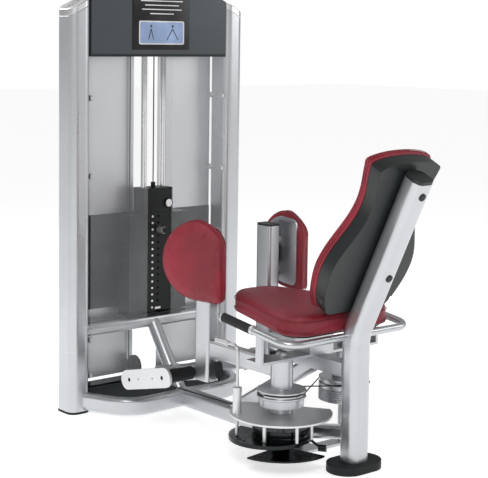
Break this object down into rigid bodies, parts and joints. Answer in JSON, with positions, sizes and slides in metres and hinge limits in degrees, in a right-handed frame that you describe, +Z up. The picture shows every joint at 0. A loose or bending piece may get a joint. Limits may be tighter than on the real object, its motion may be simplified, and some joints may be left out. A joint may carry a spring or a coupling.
{
  "type": "hip adductor machine",
  "caption": "Seated inner-thigh gym machine with swinging padded arms, a range-setting cam and a shrouded weight stack.",
  "frame": {"origin": "middle of the footprint, on the floor", "axes": "+Z up, +Y the way the user faces, towards the weight tower, +X to the user's right"},
  "size_m": [0.903, 1.6248, 1.7779],
  "materials": {
    "frame_paint": "satin",
    "header_paint": "satin",
    "placard_print": "gloss",
    "clear_shroud": "gloss",
    "rear_shroud": "satin",
    "stack_black": "satin",
    "guide_chrome": "gloss",
    "rubber_black": "matte",
    "vinyl_burgundy": "satin",
    "shell_plastic": "satin",
    "plated_steel": "satin",
    "machined_alloy": "satin",
    "cable_black": "satin",
    "grip_foam": "matte"
  },
  "bodies": {
    "root": {"tower_uprights": "frame_paint", "upright_caps": "machined_alloy", "rubber_feet": "rubber_black", "header_housing": "header_paint", "placard": "placard_print", "front_panels": "clear_shroud", "rear_panels": "rear_shroud", "stack_guard": "header_paint", "panel_fasteners": "plated_steel", "guide_rods": "guide_chrome", "top_crossmember": "header_paint", "cross_tube": "frame_paint", "stack_rest": "rubber_black", "resting_plates": "stack_black", "base_tray": "header_paint", "tower_brace": "frame_paint", "base_bow_left": "frame_paint", "base_bow_right": "frame_paint", "spine": "frame_paint", "rear_upright": "frame_paint", "upright_end_cap": "shell_plastic", "seat_supports": "frame_paint", "pivot_bridge": "frame_paint", "pivot_shafts": "guide_chrome", "pivot_base": "plated_steel", "seat_pan": "shell_plastic", "seat_cushion": "vinyl_burgundy", "back_shell": "shell_plastic", "back_cushion": "vinyl_burgundy", "frame_bolts": "shell_plastic", "handle_frame": "frame_paint", "handle_grips": "grip_foam", "main_cable": "cable_black", "sync_cables": "cable_black"},
    "stack": {"stack_head": "stack_black", "lifted_plates": "stack_black", "selector_rod": "plated_steel", "lift_cable": "cable_black"},
    "selector": {"selector_pin": "plated_steel"},
    "top_wheel": {"top_pulley": "shell_plastic"},
    "base_wheel": {"base_pulley": "shell_plastic"},
    "left_arm": {"left_hub": "frame_paint", "left_arm_tubes": "frame_paint", "left_post": "frame_paint", "left_post_caps": "shell_plastic", "left_foot_plate": "machined_alloy", "left_rollers": "grip_foam", "carrier_plate": "machined_alloy"},
    "right_arm": {"right_hub": "machined_alloy", "right_arm_tubes": "frame_paint", "right_post": "frame_paint", "right_post_caps": "shell_plastic", "right_foot_plate": "machined_alloy", "right_rollers": "grip_foam"},
    "left_pad_swivel": {"left_pad_plate": "plated_steel", "left_pad": "vinyl_burgundy"},
    "right_pad_swivel": {"right_pad_plate": "plated_steel", "right_pad": "vinyl_burgundy"},
    "pull_pin": {"pull_pin": "plated_steel"},
    "cam": {"cam": "stack_black"}
  },
  "joints": [
    {"name": "stack_lift", "type": "slide", "parent": "root", "child": "stack", "axis": [0, 0, 1], "range_m": [0, 0.4], "deforming": ["lift_cable"]},
    {"name": "selector_pull", "type": "slide", "parent": "stack", "child": "selector", "axis": [0, -1, 0], "range_m": [0, 0.06]},
    {"name": "top_wheel_turn", "type": "hinge", "parent": "root", "child": "top_wheel", "pos_m": [-0.045, 0.768, 1.5635], "axis": [0.4551, 0.8904, 0], "range_deg": [0, 120]},
    {"name": "base_wheel_turn", "type": "hinge", "parent": "root", "child": "base_wheel", "pos_m": [-0.09, 0.749, 0.146], "axis": [1, 0, 0], "range_deg": [0, 140]},
    {"name": "left_arm_swing", "type": "hinge", "parent": "root", "child": "left_arm", "pos_m": [-0.156, -0.267, 0.3], "axis": [0, 0, 1], "range_deg": [0, 40]},
    {"name": "right_arm_swing", "type": "hinge", "parent": "root", "child": "right_arm", "pos_m": [0.156, -0.267, 0.3], "axis": [0, 0, 1], "range_deg": [-40, 0]},
    {"name": "left_pad_turn", "type": "hinge", "parent": "left_arm", "child": "left_pad_swivel", "pos_m": [-0.2045, 0.173, 0.701], "axis": [0, 0, 1], "range_deg": [-60, 0]},
    {"name": "right_pad_turn", "type": "hinge", "parent": "right_arm", "child": "right_pad_swivel", "pos_m": [0.2045, 0.173, 0.701], "axis": [0, 0, 1], "range_deg": [-30, 30]},
    {"name": "pull_pin_lift", "type": "slide", "parent": "left_arm", "child": "pull_pin", "axis": [0, 0, 1], "range_m": [0, 0.014]},
    {"name": "cam_turn", "type": "hinge", "parent": "root", "child": "cam", "pos_m": [-0.156, -0.267, 0.08], "axis": [0, 0, -1], "range_deg": [0, 55]}
  ],
  "couplings": [
    {"joint": "stack_lift", "follows": "cam_turn", "m_per_rad": 0.101},
    {"joint": "top_wheel_turn", "follows": "cam_turn", "ratio": 2},
    {"joint": "base_wheel_turn", "follows": "cam_turn", "ratio": 2.4},
    {"joint": "right_arm_swing", "follows": "left_arm_swing", "ratio": -1}
  ]
}
